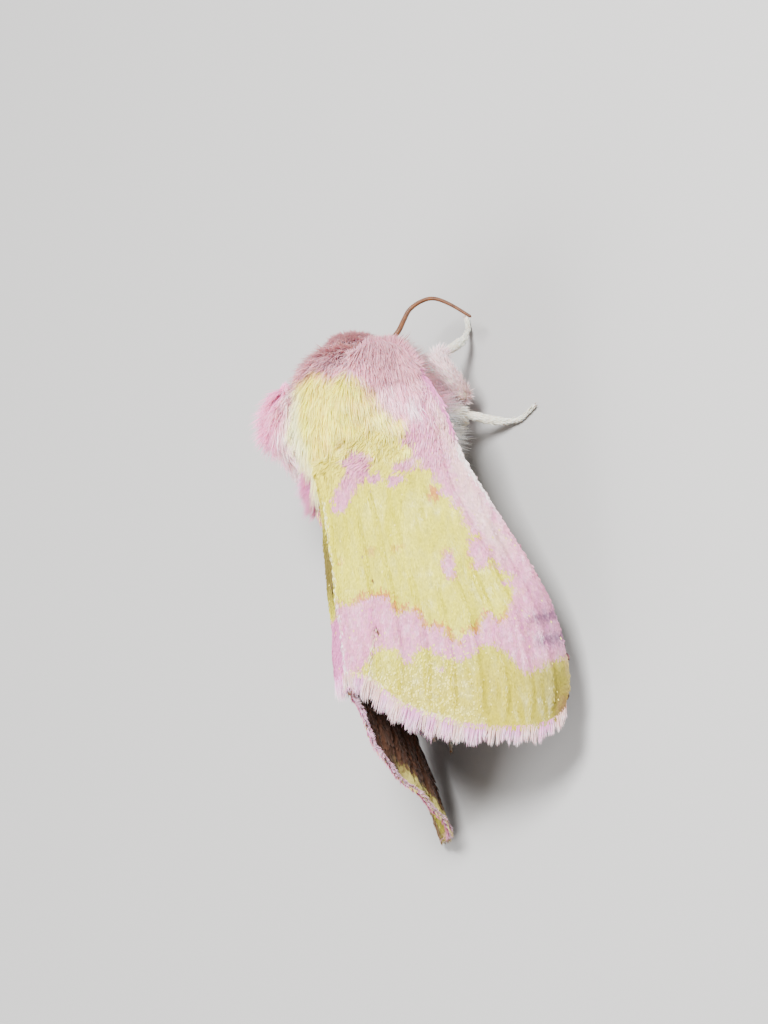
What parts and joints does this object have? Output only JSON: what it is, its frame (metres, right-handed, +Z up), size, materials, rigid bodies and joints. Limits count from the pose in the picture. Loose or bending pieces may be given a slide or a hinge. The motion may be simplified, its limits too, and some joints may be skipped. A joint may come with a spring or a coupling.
{
  "type": "pink prairie moth",
  "caption": "Life-size still model of a small yellow and pink moth at rest, wings folded as a roof over its body, legs and feelers out in front",
  "frame": {"origin": "middle of the whole moth, on the level that its feet stand on", "axes": "+Z up, the head points to -Y, the moth's left is +X"},
  "size_m": [0.013, 0.0234, 0.0091],
  "materials": {
    "thorax_fur": "dense soft yellow hair scales",
    "collar_fur": "dull mauve pink hair scales",
    "tegula_fur": "long pink hair scales tipped white",
    "abdomen_fur": "pale cream hair scales",
    "forewing_scales": "fine matt scales, yellow with pink bands",
    "hindwing_scales": "thin satin scales, pale brown",
    "leg_scales": "smooth cream scales",
    "antenna_brown": "orange brown, finely ringed",
    "eye_black": "dark glossy compound eye"
  },
  "bodies": {
    "root": {"thorax": "thorax_fur", "collar": "collar_fur", "head": "collar_fur", "abdomen": "abdomen_fur", "eye_left": "eye_black", "eye_right": "eye_black", "antenna_left": "antenna_brown", "antenna_right": "antenna_brown", "palp_left": "collar_fur", "palp_right": "collar_fur", "tegula_left": "tegula_fur", "tegula_right": "tegula_fur", "forewing_left": "forewing_scales", "forewing_right": "forewing_scales", "hindwing_left": "hindwing_scales", "hindwing_right": "hindwing_scales", "foreleg_left": "leg_scales", "foreleg_right": "leg_scales", "midleg_left": "leg_scales", "midleg_right": "leg_scales", "hindleg_left": "leg_scales", "hindleg_right": "leg_scales"}
  },
  "joints": []
}
